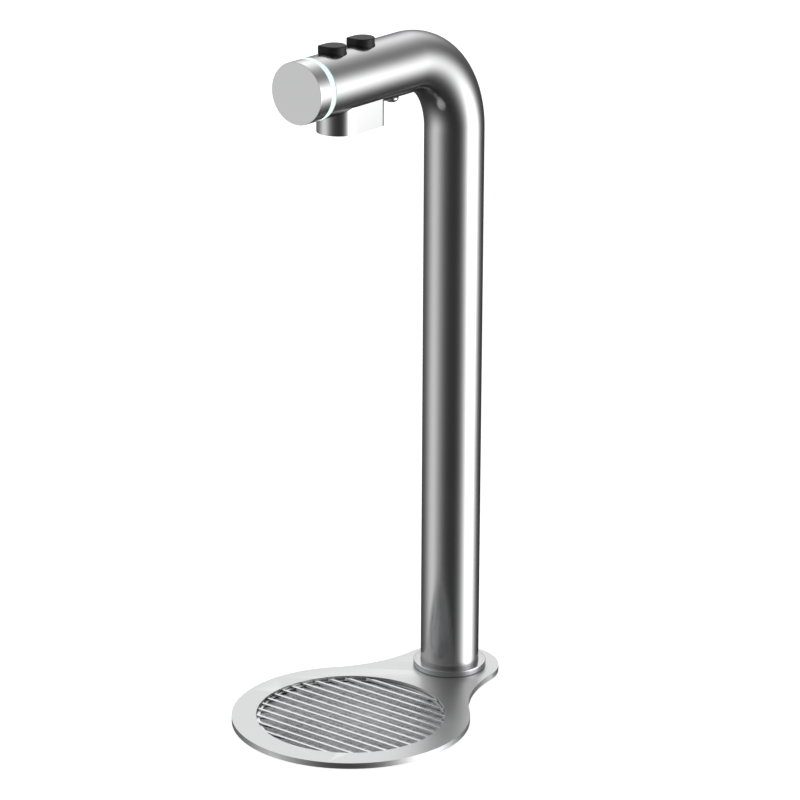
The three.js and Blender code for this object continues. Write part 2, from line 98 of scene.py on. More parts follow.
# %% Soft boxes of light in the world
SOFT_BOXES = {  # azimuth and elevation in degrees, tightness, strength
    "right key box": (25, -5, 10, 4.2),
    "left fill box": (-130, -20, 8, 0.8),
    "back box": (120, 30, 15, 0.9),
    "overhead box": (170, 60, 3, 1.3),
}
DARK_ROOM = 0.03
BACKDROP = 1.0

world = bpy.data.worlds.new("studio")
bpy.context.scene.world = world
world.use_nodes = True
nodes, links = world.node_tree.nodes, world.node_tree.links
nodes.clear()


def math_node(nodes, operation, *values):
    """A Math node with its inputs set or linked."""
    node = nodes.new("ShaderNodeMath")
    node.operation = operation
    for socket, value in zip(node.inputs, values):
        if isinstance(value, (int, float)):
            socket.default_value = value
        else:
            node.id_data.links.new(value, socket)
    return node.outputs[0]


direction = nodes.new("ShaderNodeTexCoord").outputs["Generated"]
light = DARK_ROOM
for title, (azimuth, elevation, tightness, strength) in SOFT_BOXES.items():
    a, e = math.radians(azimuth), math.radians(elevation)
    dot = nodes.new("ShaderNodeVectorMath")
    dot.operation = "DOT_PRODUCT"
    dot.label = title
    dot.inputs[1].default_value = (math.cos(a) * math.cos(e), math.sin(a) * math.cos(e), math.sin(e))
    links.new(direction, dot.inputs[0])
    fade = math_node(nodes, "MULTIPLY_ADD", dot.outputs["Value"], tightness, -tightness)
    lobe = math_node(nodes, "MULTIPLY", math_node(nodes, "EXPONENT", fade), strength)
    light = math_node(nodes, "ADD", lobe, light)

# %% [markdown]
# The camera itself sees a plain white backdrop instead of the boxes. Light Path tells the two apart.

# %% Backdrop
boxes = nodes.new("ShaderNodeBackground")
boxes.inputs["Color"].default_value = (1, 1, 1, 1)
links.new(light, boxes.inputs["Strength"])
backdrop = nodes.new("ShaderNodeBackground")
backdrop.inputs["Color"].default_value = (1, 1, 1, 1)
backdrop.inputs["Strength"].default_value = BACKDROP
mix = nodes.new("ShaderNodeMixShader")
links.new(nodes.new("ShaderNodeLightPath").outputs["Is Camera Ray"], mix.inputs["Fac"])
links.new(boxes.outputs[0], mix.inputs[1])
links.new(backdrop.outputs[0], mix.inputs[2])
links.new(mix.outputs[0], nodes.new("ShaderNodeOutputWorld").inputs["Surface"])
print(len(SOFT_BOXES), "soft boxes")

# %% [markdown]
# ## Floor
#
# A pale counter that runs past the view on all sides. It glows a little, as a light table does, so it
# comes out as white as the backdrop. The steel doesn't reflect it, so that the soft boxes can
# stand lower than the counter, as they do round a glass table.

# %% Floor
FLOOR_SIZE = 12.0
FLOOR_GLOW = 0.62

bpy.ops.object.select_all(action="DESELECT")
bpy.ops.mesh.primitive_plane_add(size=FLOOR_SIZE, location=(0, 0, 0))
floor = bpy.context.object
floor.name = "floor"
floor.visible_glossy = False
floor.visible_shadow = False
counter = bpy.data.materials.new("pale_counter")
counter.use_nodes = True
shader = counter.node_tree.nodes["Principled BSDF"]
shader.inputs["Base Color"].default_value = (0.86, 0.86, 0.86, 1)
shader.inputs["Roughness"].default_value = 0.9
shader.inputs["Specular IOR Level"].default_value = 0.1
shader.inputs["Emission Color"].default_value = (1, 1, 1, 1)
shader.inputs["Emission Strength"].default_value = FLOOR_GLOW
floor.data.materials.append(counter)

# %% [markdown]
# ## Shared surface effects
#
# Three effects come back in many finishes, so each is a node group, built once. **Brushing** is the
# pattern of fine lines that an abrasive belt leaves: noise stretched a lot in one direction. **Grain**
# is the even tooth of blasted steel or moulded plastic. **Edge wear** finds the edges, which handling
# polishes: Pointiness is high where a mesh bends outwards. Each gives only a value that changes over
# the surface, and the material decides what it drives.


# %% Node helpers
def new_group(name, inputs, outputs):
    """A shader node group with float or vector inputs and float outputs."""
    group = bpy.data.node_groups.new(name, "ShaderNodeTree")
    for title, kind, value in inputs:
        socket = group.interface.new_socket(title, in_out="INPUT", socket_type=kind)
        socket.default_value = value
    for title in outputs:
        group.interface.new_socket(title, in_out="OUTPUT", socket_type="NodeSocketFloat")
    return group, group.nodes.new("NodeGroupInput").outputs, group.nodes.new("NodeGroupOutput").inputs


def noise_node(tree, vector, scale, detail=2.0):
    """A Noise texture read at a vector."""
    node = tree.nodes.new("ShaderNodeTexNoise")
    node.inputs["Detail"].default_value = detail
    tree.links.new(vector, node.inputs["Vector"])
    if isinstance(scale, (int, float)):
        node.inputs["Scale"].default_value = scale
    else:
        tree.links.new(scale, node.inputs["Scale"])
    return node.outputs["Fac"]


# %% Brushing, grain and edge wear
brushing, into, out = new_group(
    "Brushing",
    [("Vector", "NodeSocketVector", (0, 0, 0)), ("Lines per metre", "NodeSocketFloat", 900.0)],
    ["Lines", "Clouds"],
)
fine = noise_node(brushing, into["Vector"], into["Lines per metre"], 3.0)
brushing.links.new(fine, out["Lines"])
coordinate = brushing.nodes.new("ShaderNodeTexCoord").outputs["Object"]
brushing.links.new(noise_node(brushing, coordinate, 14.0), out["Clouds"])

grain, into, out = new_group(
    "Grain",
    [("Vector", "NodeSocketVector", (0, 0, 0)), ("Grains per metre", "NodeSocketFloat", 1500.0)],
    ["Tooth", "Clouds"],
)
grain.links.new(noise_node(grain, into["Vector"], into["Grains per metre"], 2.0), out["Tooth"])
grain.links.new(noise_node(grain, into["Vector"], 16.0), out["Clouds"])

edge_wear, into, out = new_group(
    "Edge wear", [("Amount", "NodeSocketFloat", 1.0)], ["Edge"]
)
pointed = edge_wear.nodes.new("ShaderNodeNewGeometry").outputs["Pointiness"]
ramp = edge_wear.nodes.new("ShaderNodeMapRange")
ramp.inputs["From Min"].default_value = 0.52
ramp.inputs["From Max"].default_value = 0.62
edge_wear.links.new(pointed, ramp.inputs["Value"])
edge_wear.links.new(math_node(edge_wear.nodes, "MULTIPLY", ramp.outputs[0], into["Amount"]), out["Edge"])
print("groups", [g.name for g in (brushing, grain, edge_wear)])

# %% [markdown]
# ## Finishes
#
# Every finish is one Principled shader with the same wiring: a texture group changes its colour, its
# roughness and its bump a little, and edge wear makes the edges lighter and smoother. So a function
# does the wiring and each finish is one call. The stretch says which way the brush went: a small
# number on an axis draws the pattern out along it.


# %% A finish function
def finish(name, color, roughness, metallic=1.0, texture=grain, size=1500.0, stretch=(1, 1, 1),
           tone=0.06, rough_change=0.06, bump=0.02, wear=0.25, wear_color=(0.9, 0.9, 0.9), **fixed):
    """A procedural material; tone, rough_change and bump say how much the texture does."""
    material = bpy.data.materials.new(name)
    material.use_nodes = True
    tree = material.node_tree
    shader = tree.nodes["Principled BSDF"]
    for title, value in fixed.items():
        shader.inputs[title.replace("_", " ")].default_value = value
    mapping = tree.nodes.new("ShaderNodeMapping")
    mapping.inputs["Scale"].default_value = stretch
    tree.links.new(tree.nodes.new("ShaderNodeTexCoord").outputs["Object"], mapping.inputs["Vector"])
    pattern = tree.nodes.new("ShaderNodeGroup")
    pattern.node_tree = texture
    tree.links.new(mapping.outputs["Vector"], pattern.inputs["Vector"])
    pattern.inputs[1].default_value = size
    edges = tree.nodes.new("ShaderNodeGroup")
    edges.node_tree = edge_wear
    edges.inputs["Amount"].default_value = wear
    wire_color(tree, shader, pattern, edges, color, tone, wear_color)
    wire_roughness(tree, shader, pattern, edges, roughness, rough_change)
    bumps = tree.nodes.new("ShaderNodeBump")
    bumps.inputs["Strength"].default_value = bump
    bumps.inputs["Distance"].default_value = 0.2 * MM
    tree.links.new(pattern.outputs[0], bumps.inputs["Height"])
    tree.links.new(bumps.outputs["Normal"], shader.inputs["Normal"])
    shader.inputs["Metallic"].default_value = metallic
    return material


def wire_color(tree, shader, pattern, edges, color, tone, wear_color):
    """Base colour: darker and lighter with the pattern, lighter again at the edges."""
    both = math_node(tree.nodes, "ADD", pattern.outputs[0], pattern.outputs[1])
    change = tree.nodes.new("ShaderNodeMapRange")
    change.inputs["From Min"].default_value = 0.6
    change.inputs["From Max"].default_value = 1.4
    tree.links.new(both, change.inputs["Value"])
    blend = tree.nodes.new("ShaderNodeMix")
    blend.data_type = "RGBA"
    blend.inputs["A"].default_value = (*[c * (1 - tone) for c in color], 1)
    blend.inputs["B"].default_value = (*[min(1, c * (1 + tone)) for c in color], 1)
    tree.links.new(change.outputs[0], blend.inputs["Factor"])
    worn = tree.nodes.new("ShaderNodeMix")
    worn.data_type = "RGBA"
    worn.inputs["B"].default_value = (*wear_color, 1)
    tree.links.new(edges.outputs["Edge"], worn.inputs["Factor"])
    tree.links.new(blend.outputs["Result"], worn.inputs["A"])
    tree.links.new(worn.outputs["Result"], shader.inputs["Base Color"])


def wire_roughness(tree, shader, pattern, edges, roughness, rough_change):
    """Roughness: round its own value with the pattern, smoother at the edges."""
    change = tree.nodes.new("ShaderNodeMapRange")
    change.inputs["From Min"].default_value = 0.6
    change.inputs["From Max"].default_value = 1.4
    change.inputs["To Min"].default_value = roughness - rough_change
    change.inputs["To Max"].default_value = roughness + rough_change
    both = math_node(tree.nodes, "ADD", pattern.outputs[0], pattern.outputs[1])
    tree.links.new(both, change.inputs["Value"])
    less = math_node(tree.nodes, "MULTIPLY", edges.outputs["Edge"], 0.4 * roughness)
    tree.links.new(math_node(tree.nodes, "SUBTRACT", change.outputs[0], less), shader.inputs["Roughness"])


# %% [markdown]
# The steels differ in how they were finished. The column is blasted to an even satin. The plate is
# ground along X and the grille bars along their length. The cap is turned, so its side carries rings,
# and its face is a calm grey. The spout is polished like a mirror.

# %% The finishes of this object
STEEL = (0.62, 0.62, 0.625)
finishes = {
    "satin_steel": finish("satin_steel", STEEL, 0.19, size=2200, bump=0.012, tone=0.03, rough_change=0.03,
                          Specular_Tint=(0.55, 0.55, 0.56, 1)),
    "plate_steel": finish("plate_steel", (0.62, 0.622, 0.627), 0.36, texture=brushing, size=1500,
                          stretch=(0.03, 1, 1), bump=0.02, tone=0.035, rough_change=0.05),
    "cap_steel": finish("cap_steel", (0.64, 0.64, 0.643), 0.22, texture=brushing, size=2200, stretch=(0.05, 1, 0.05),
                        bump=0.03, tone=0.04, rough_change=0.05),
    "pan_steel": finish("pan_steel", (0.58, 0.585, 0.595), 0.3, size=260, bump=0.9, tone=0.45,
                        rough_change=0.12, wear=0),
    "grille_steel": finish("grille_steel", (0.66, 0.665, 0.67), 0.26, texture=brushing, size=1800,
                           stretch=(0.04, 1, 1), bump=0.05, tone=0.06, rough_change=0.08),
    "polished_steel": finish("polished_steel", (0.66, 0.66, 0.665), 0.05, size=900, bump=0.002, tone=0.01,
                             rough_change=0.015),
    "fastener_steel": finish("fastener_steel", (0.5, 0.5, 0.51), 0.3, size=1800, bump=0.05),
    "button_plastic": finish("button_plastic", (0.011, 0.011, 0.0115), 0.5, 0.0, size=2600, bump=0.2,
                             Specular_IOR_Level=0.3, tone=0.2, wear=0.12, wear_color=(0.09, 0.09, 0.09)),
    "grey_plastic": finish("grey_plastic", (0.09, 0.095, 0.1), 0.5, 0.0, size=1800, bump=0.08, wear=0.1),
    "light_diffuser": finish("light_diffuser", (0.3, 0.34, 0.35), 0.35, 0.0, size=700, bump=0.01, tone=0.02,
                             wear=0, Emission_Color=(0.8, 1.0, 1.0, 1), Emission_Strength=0.75),
    "circuit_board": finish("circuit_board", (0.02, 0.14, 0.07), 0.35, 0.0, size=500, bump=0.05, tone=0.15),
    "rubber": finish("rubber", (0.02, 0.02, 0.021), 0.75, 0.0, size=1600, bump=0.15, tone=0.2, wear=0.1),
    "silicone": finish("silicone", (0.55, 0.56, 0.57), 0.45, 0.0, size=1200, bump=0.05, tone=0.03),
    "hose_plastic": finish("hose_plastic", (0.78, 0.8, 0.82), 0.35, 0.0, size=500, bump=0.03, tone=0.03),
    "nozzle_brass": finish("nozzle_brass", (0.72, 0.5, 0.2), 0.25, texture=brushing, size=2000,
                           stretch=(0.05, 0.05, 1), bump=0.06, tone=0.08),
}
for part in frame["record"]["subparts"]:
    shown = frame["nodes"][part["node"]]
    shown.data.materials.clear()
    shown.data.materials.append(finishes[part["material_slot"]])
print(len(finishes), "finishes on", len(frame["nodes"]), "CAD pieces")

# %% [markdown]
# ## Tools of the bench
#
# All the round pieces are made the same way by hand: add a circle, extrude its edge along the axis,
# scale the new edge, and so on to the end of the profile. `turned` does that for a list of radii and
# distances. `keep` gives a finished piece its shading, its body, its finish and the CAD piece that it
# stands for.


# %% Start, select and turn
def start_edit(obj):
    """Leaves only this object selected, in edit mode."""
    if bpy.context.object and bpy.context.object.mode != "OBJECT":
        bpy.ops.object.mode_set(mode="OBJECT")
    bpy.ops.object.select_all(action="DESELECT")
    obj.select_set(True)
    bpy.context.view_layer.objects.active = obj
    bpy.ops.object.mode_set(mode="EDIT")
    bpy.ops.mesh.select_mode(type="VERT")


def end_edit(obj):
    """Back to object mode, with the object's place moved into its mesh."""
    bpy.ops.mesh.select_all(action="SELECT")
    bpy.ops.mesh.remove_doubles(threshold=1e-6)
    bpy.ops.mesh.normals_make_consistent(inside=False)
    bpy.ops.object.mode_set(mode="OBJECT")
    bpy.ops.object.transform_apply(location=True, rotation=True, scale=True)
    return obj


def pick(obj, mode, test):
    """In edit mode, selects the vertices, edges or faces whose middle passes a test."""
    bpy.ops.mesh.select_mode(type=mode)
    bpy.ops.mesh.select_all(action="DESELECT")
    bpy.ops.object.mode_set(mode="OBJECT")
    mesh, place = obj.data, obj.matrix_world
    parts = {"VERT": mesh.vertices, "EDGE": mesh.edges, "FACE": mesh.polygons}[mode]
    for part in parts:
        corners = [part.index] if mode == "VERT" else part.vertices
        points = [place @ mesh.vertices[i].co for i in corners]
        part.select = bool(test(points))
    bpy.ops.object.mode_set(mode="EDIT")


def turned(name, profile, centre, toward=(0, 0, 1), steps=96, caps=True):
    """Extrudes and scales a circle along a profile of (radius, distance) pairs, in mm, from a centre."""
    axis = Vector(toward)
    flat = Vector([1 - abs(c) for c in axis])
    radius, distance = profile[0]
    turn = axis.to_track_quat("Z", "Y").to_euler()
    bpy.ops.object.select_all(action="DESELECT")
    bpy.ops.mesh.primitive_circle_add(vertices=steps, radius=radius * MM,
                                      location=Vector(centre) + axis * distance * MM, rotation=turn,
                                      fill_type="NGON" if caps else "NOTHING")
    obj = bpy.context.object
    obj.name = name
    bpy.ops.object.transform_apply(location=True, rotation=True, scale=True)
    start_edit(obj)
    bpy.ops.mesh.select_all(action="SELECT")
    for next_radius, next_distance in profile[1:]:
        step = axis * (next_distance - distance) * MM
        bpy.ops.mesh.extrude_region_move(TRANSFORM_OT_translate={"value": step})
        grow = next_radius / radius
        scale = Vector([grow if f else 1 for f in flat])
        middle = Vector(centre) + axis * next_distance * MM
        bpy.ops.transform.resize(value=scale, center_override=middle)
        radius, distance = next_radius, next_distance
    return end_edit(obj)


def cut_away(obj, cutter, operation="DIFFERENCE"):
    """Cuts one piece with another, which is then thrown away."""
    bpy.ops.object.select_all(action="DESELECT")
    obj.select_set(True)
    bpy.context.view_layer.objects.active = obj
    cut = obj.modifiers.new("cut", "BOOLEAN")
    cut.object = cutter
    cut.operation = operation
    cut.solver = "EXACT"
    bpy.ops.object.modifier_apply(modifier=cut.name)
    bpy.data.objects.remove(cutter)
    return obj


def soften(obj, width, segments=2, angle=35):
    """A small bevel on every edge sharper than an angle."""
    bevel = obj.modifiers.new("edge", "BEVEL")
    bevel.width = width * MM
    bevel.segments = segments
    bevel.limit_method = "ANGLE"
    bevel.angle_limit = math.radians(angle)
    bpy.context.view_layer.objects.active = obj
    bpy.ops.object.modifier_apply(modifier=bevel.name)


def keep(obj, body, slot, *stands_for, smooth=30):
    """Finishes a piece: smooth shading, finish, body, slot and the CAD piece that it stands for."""
    bpy.ops.object.select_all(action="DESELECT")
    obj.select_set(True)
    bpy.context.view_layer.objects.active = obj
    bpy.ops.object.shade_smooth_by_angle(angle=math.radians(smooth))
    flat = obj.modifiers.new("flat faces stay flat", "WEIGHTED_NORMAL")
    flat.keep_sharp = True
    bpy.ops.object.modifier_apply(modifier=flat.name)
    obj.data.materials.clear()
    obj.data.materials.append(finishes[slot])
    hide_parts(*stands_for)
    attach(obj, body)
    print(obj.name, len(obj.data.polygons), "faces", [round(v, 4) for v in obj.dimensions])
    return obj


# %% Where things are
collar_low, collar_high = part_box("foot_collar")
COLUMN = Vector(((collar_low.x + collar_high.x) / 2, (collar_low.y + collar_high.y) / 2, 0))
ring_low, ring_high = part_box("light_ring")
ARM_Z = (ring_low.z + ring_high.z) / 2
TUBE_R = (ring_high.x - ring_low.x) / 2 / MM
plate_low, plate_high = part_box("base_plate")
ALONG_ARM = (0, -1, 0)
ARM = COLUMN + Vector((0, 0, ARM_Z))
print("column axis", COLUMN, "arm height", ARM_Z, "tube radius", TUBE_R)

# %% [markdown]
# ## Column
#
# One stainless tube, bent once with a mandrel so that it stays round. A curve with a bevel would give
# the shape too, but a hand would rather start from the cut end: a circle is pulled up, spun round the
# bend's centre and pulled out along the arm. Solidify gives the wall. The holes for the buttons are
# then cut with the buttons' own outline, a little larger.

# %% Column tube
BEND_R = 54
TUBE_WALL = 1.5
BEND_STEPS = 48
ARM_STEPS = 30
ARM_END = 147.3
foot = collar_low.z
bpy.ops.object.select_all(action="DESELECT")
bpy.ops.mesh.primitive_circle_add(vertices=192, radius=TUBE_R * MM, location=COLUMN + Vector((0, 0, foot)))
column = bpy.context.object
column.name = "column"
bpy.ops.object.transform_apply(location=True, rotation=True, scale=True)
start_edit(column)
bpy.ops.mesh.select_all(action="SELECT")
straight = ARM_Z - BEND_R * MM - foot
bpy.ops.mesh.extrude_region_move(TRANSFORM_OT_translate={"value": (0, 0, straight)})
bend_centre = COLUMN + Vector((0, -BEND_R * MM, ARM_Z - BEND_R * MM))
bpy.ops.mesh.spin(steps=BEND_STEPS, angle=math.pi / 2, center=bend_centre, axis=(-1, 0, 0))
step = (ARM_END - BEND_R) / ARM_STEPS * MM
for _ in range(ARM_STEPS):
    bpy.ops.mesh.extrude_region_move(TRANSFORM_OT_translate={"value": (0, -step, 0)})
end_edit(column)
wall = column.modifiers.new("wall", "SOLIDIFY")
wall.thickness = TUBE_WALL * MM
wall.offset = -1
wall.use_even_offset = True
bpy.ops.object.modifier_apply(modifier=wall.name)
print("column reaches", [round(v, 4) for v in column.dimensions])

# %% [markdown]
# ## Buttons
#
# Two moulded black keys, each a circle with one square corner, like a drop that points to the front
# and left. Half of the circle's rim is removed round the corner, the two ends are pulled straight on
# until they meet, and the outline is then filled and raised. A flange at the bottom keeps the key in
# the arm. The same outline, a little larger, cuts its hole in the column.

# %% A drop outline
KEY_R = 7.6
KEY_FLANGE = 0.9
KEY_GAP = 0.4


def drop_outline(name, radius, x, y, z):
    """A flat face with a drop's outline: a circle with a square corner towards -X and -Y."""
    bpy.ops.object.select_all(action="DESELECT")
    bpy.ops.mesh.primitive_circle_add(vertices=72, radius=radius * MM, location=(x, y, z))
    obj = bpy.context.object
    obj.name = name
    bpy.ops.object.transform_apply(location=True, rotation=True, scale=True)
    start_edit(obj)
    tiny = 1e-6
    pick(obj, "VERT", lambda p: p[0].x < x - tiny and p[0].y < y - tiny)
    bpy.ops.mesh.delete(type="VERT")
    for side, move in (("x", (0, -radius * MM, 0)), ("y", (-radius * MM, 0, 0))):
        if side == "x":
            pick(obj, "VERT", lambda p: p[0].x < x - 0.999 * radius * MM and abs(p[0].y - y) < tiny)
        else:
            pick(obj, "VERT", lambda p: p[0].y < y - 0.999 * radius * MM and abs(p[0].x - x) < tiny)
        bpy.ops.mesh.extrude_region_move(TRANSFORM_OT_translate={"value": move})
    bpy.ops.mesh.select_all(action="SELECT")
    bpy.ops.mesh.remove_doubles(threshold=1e-5)
    bpy.ops.mesh.select_all(action="SELECT")
    bpy.ops.mesh.edge_face_add()
    return obj


# %% A key, modelled once and copied
def raise_by(height):
    """Pulls the selected face straight up."""
    bpy.ops.mesh.extrude_region_move(TRANSFORM_OT_translate={"value": (0, 0, height * MM)})


front_low, front_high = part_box("front_button")
FLANGE_T = 1.3
key_x = (front_low.x + front_high.x) / 2
key_y = (front_low.y + front_high.y) / 2
key_height = (front_high.z - front_low.z) / MM
front_key = drop_outline("front_key", KEY_R + KEY_FLANGE, key_x, key_y, front_low.z)
raise_by(FLANGE_T)
raise_by(0)
shrink = KEY_R / (KEY_R + KEY_FLANGE)
bpy.ops.transform.resize(value=(shrink, shrink, 1), center_override=(key_x, key_y, front_low.z))
raise_by(key_height - FLANGE_T)
end_edit(front_key)
start_edit(front_key)
tip = (key_x - KEY_R * MM, key_y - KEY_R * MM)
pick(front_key, "EDGE", lambda p: all(abs(v.x - tip[0]) + abs(v.y - tip[1]) < 1e-5 for v in p))
bpy.ops.mesh.bevel(offset=0.9 * MM, segments=5)
pick(front_key, "EDGE", lambda p: all(v.z > front_high.z - 1e-5 for v in p))
bpy.ops.mesh.bevel(offset=0.7 * MM, segments=4)
end_edit(front_key)
rear_low, rear_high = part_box("rear_button")
rear_key = front_key.copy()
rear_key.data = front_key.data.copy()
rear_key.name = "rear_key"
bpy.context.scene.collection.objects.link(rear_key)
rear_key.data.transform(Matrix.Translation(rear_low - front_low))
keep(front_key, "front_button", "button_plastic", "front_button")
keep(rear_key, "rear_button", "button_plastic", "rear_button")

# %% Holes in the column for the keys
for low in (front_low, rear_low):
    middle_y = key_y + low.y - front_low.y
    cutter = drop_outline("cutter", KEY_R + KEY_GAP, key_x, middle_y, ARM_Z + 10 * MM)
    raise_by(20)
    cut_away(column, end_edit(cutter))

# %% [markdown]
# ## Return domes
#
# A silicone dome under each key pushes it back up. The real dome flattens towards its foot while the key goes
# down; here it is one still shape, turned to the CAD dome's height and kept on the body.

# %% Return domes
for place in ("front", "rear"):
    low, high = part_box(f"{place}_return_dome")
    foot, top = (low.z - ARM_Z) / MM, (high.z - ARM_Z) / MM
    centre = ((low.x + high.x) / 2, (low.y + high.y) / 2, ARM_Z)
    profile = [(7.4, foot), (7.4, foot + 0.8), (6.3, foot + 1.4), (5.6, top), (4.8, top),
               (5.5, foot + 1.1), (5.5, foot), (7.4, foot)]
    dome = turned(f"{place}_dome", profile, centre, steps=48, caps=False)
    keep(dome, "body", "silicone", f"{place}_return_dome")
    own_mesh(dome)

# %% [markdown]
# Below, the arm has a slot for the nozzles and two screw holes, all hidden by the pieces under them,
# so that the inside stays as it is in the CAD.

# %% Holes under the arm
slot_hole = turned("cutter", [(12.2, -30), (12.2, -10)], (0, COLUMN.y - 0.116, ARM_Z))
for node in ("retaining_screw", "spout_screw"):
    low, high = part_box(node)
    hole = turned("cutter", [(2.3, -30), (2.3, -10)], (0, (low.y + high.y) / 2, ARM_Z), steps=32)
    cut_away(column, hole)
cut_away(column, slot_hole)
soften(column, 0.25)
keep(column, "body", "satin_steel", "column_tube")

# %% [markdown]
# ## Light ring and end cap
#
# An opal ring glows all round the arm just behind the cap. The cap is turned from bar: a flat face, a
# crisp small edge, and a side that carries fine rings from the tool.

# %% Light ring
light_ring = turned("light_ring_glow", [(18.2, 143.5), (18.2, 148.05), (TUBE_R, 148.05), (TUBE_R, 152.15),
                    (16.5, 152.15), (16.5, 143.5), (18.2, 143.5)], ARM, ALONG_ARM, caps=False)
keep(light_ring, "body", "light_diffuser", "light_ring")

# %% End cap
cap_low, cap_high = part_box("end_cap")
CAP_FACE = (COLUMN.y - cap_low.y) / MM
end_cap = turned("end_cap_turned", [(13, CAP_FACE - 3), (13, 150.9), (15, 150.9), (15, 152.3), (TUBE_R, 152.3),
                 (TUBE_R, CAP_FACE - 0.45), (TUBE_R - 0.13, CAP_FACE - 0.13), (TUBE_R - 0.45, CAP_FACE)],
                 ARM, ALONG_ARM)
keep(end_cap, "body", "cap_steel", "end_cap")

# %% [markdown]
# ## Spout
#
# A polished housing under the arm, half-round in front and square behind with rounded corners. The
# outline starts as a circle whose rear half is pulled back, and is raised to a block. The block is
# hollowed from above and its top is cut to the round of the arm.

# %% Spout housing
spout_low, spout_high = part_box("spout_housing")
HALF = (spout_high.x - spout_low.x) / 2
front_y = spout_low.y + HALF
SPOUT_WALL = 1.6
SPOUT_CORNER = 4.5


def spout_block(name, inset, low, high):
    """A block with the spout's outline, between two heights in metres."""
    radius = HALF - inset * MM
    bpy.ops.object.select_all(action="DESELECT")
    bpy.ops.mesh.primitive_circle_add(vertices=96, radius=radius, location=(0, front_y, low))
    obj = bpy.context.object
    obj.name = name
    bpy.ops.object.transform_apply(location=True, rotation=True, scale=True)
    start_edit(obj)
    pick(obj, "VERT", lambda p: p[0].y > front_y + 1e-6)
    bpy.ops.mesh.delete(type="VERT")
    pick(obj, "VERT", lambda p: p[0].y > front_y - 1e-6)
    back = spout_high.y - inset * MM - front_y
    bpy.ops.mesh.extrude_region_move(TRANSFORM_OT_translate={"value": (0, back, 0)})
    bpy.ops.mesh.select_all(action="SELECT")
    bpy.ops.mesh.edge_face_add()
    bpy.ops.mesh.extrude_region_move(TRANSFORM_OT_translate={"value": (0, 0, high - low)})
    pick(obj, "EDGE", lambda p: all(v.y > front_y + back - 1e-6 and abs(v.x) > radius - 1e-6 for v in p)
         and abs(p[0].z - p[1].z) > 1e-4)
    bpy.ops.mesh.bevel(offset=max(SPOUT_CORNER - inset, 0.5) * MM, segments=10)
    return end_edit(obj)


spout = spout_block("spout", 0, spout_low.z, ARM_Z - 10 * MM)
cut_away(spout, spout_block("cutter", SPOUT_WALL, spout_low.z + SPOUT_WALL * MM, ARM_Z))
tube_room = turned("cutter", [(TUBE_R + 0.15, 60), (TUBE_R + 0.15, 160)], ARM, ALONG_ARM, steps=192)
cut_away(spout, tube_room)
for node in ("left_nozzle", "right_nozzle"):
    low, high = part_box(node)
    x = (low.x + high.x) / 2
    mouth = turned("cutter", [(5.1, -40), (5.1, -25)], (x, low.y + 4.8 * MM, ARM_Z), steps=48)
    cut_away(spout, mouth)
soften(spout, 0.9, 4)
keep(spout, "body", "polished_steel", "spout_housing")

# %% [markdown]
# ## Screw under the arm
#
# A small domed screw with a hexagon socket holds what is inside the arm.

# %% Retaining screw
screw_low, screw_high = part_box("retaining_screw")
screw_at = (0, (screw_low.y + screw_high.y) / 2, ARM_Z)
screw = turned("arm_screw", [(2, -6), (2, -20.3), (4.5, -20.3), (4.5, -21.3), (4.3, -21.9), (3.8, -22.5),
               (3.1, -23), (2.3, -23.3), (1.9, -23.4)], screw_at, steps=48)
cut_away(screw, turned("cutter", [(1.6, -25), (1.6, -22)], screw_at, steps=6))
keep(screw, "body", "polished_steel", "retaining_screw")

# %% [markdown]
# ## Base plate
#
# A keyhole outline, laser-cut from 4 mm sheet: a disc round the tray, a small lobe round the column
# and a hollow neck on each side. Each arc is spun from a point about its own centre, so the arcs meet
# without a kink. The outline is filled, raised, and the openings are cut out of it.

# %% Plate outline
DISC_R = 79.86
DISC_Y = COLUMN.y - 0.109
LOBE_R = 33.98
NECK_R = 90
to_lobe, to_disc, apart = LOBE_R + NECK_R, DISC_R + NECK_R, 109
neck_y = (to_lobe ** 2 - to_disc ** 2 + apart ** 2) / (-2 * apart)
neck_x = math.sqrt(to_lobe ** 2 - neck_y ** 2)
lobe_angle = math.atan2(neck_y, neck_x)
disc_angle = math.atan2(neck_y + apart, neck_x)
NECK = Vector((neck_x * MM, COLUMN.y + neck_y * MM, 0))
DISC = Vector((0, DISC_Y, 0))

bpy.ops.object.select_all(action="DESELECT")
bpy.ops.mesh.primitive_plane_add(size=0.001, location=(0, DISC_Y - DISC_R * MM, 0))
plate = bpy.context.object
plate.name = "plate"
bpy.ops.object.transform_apply(location=True, rotation=True, scale=True)
start_edit(plate)
bpy.ops.mesh.select_all(action="SELECT")
bpy.ops.mesh.merge(type="CENTER")
arcs = [  # centre, angle turned, steps
    (DISC, math.pi / 2 + disc_angle, 96),
    (NECK, lobe_angle - disc_angle, 32),
    (COLUMN, math.pi / 2 - lobe_angle, 40),
]
for centre, angle, steps in arcs:
    bpy.ops.mesh.select_mode(type="VERT")
    bpy.ops.mesh.spin(steps=steps, angle=angle, center=centre, axis=(0, 0, -1))
bpy.ops.object.mode_set(mode="OBJECT")
print("half outline ends at", [round(v, 4) for v in plate.data.vertices[-1].co])

# %% The other half, the thickness and the openings
mirror = plate.modifiers.new("other half", "MIRROR")
mirror.merge_threshold = 1e-5
bpy.ops.object.modifier_apply(modifier=mirror.name)
start_edit(plate)
bpy.ops.mesh.select_all(action="SELECT")
bpy.ops.mesh.remove_doubles(threshold=1e-6)
bpy.ops.mesh.select_all(action="SELECT")
bpy.ops.mesh.edge_face_add()
PLATE_T = (plate_high.z - plate_low.z) / MM
raise_by(PLATE_T)
end_edit(plate)


def ring_cutter(inner, outer, top, centre):
    """A ring-shaped cutter from below the plate up to a height in mm."""
    profile = [(outer, -1), (outer, top), (inner, top), (inner, -1), (outer, -1)]
    return turned("cutter", profile, centre, steps=128, caps=False)


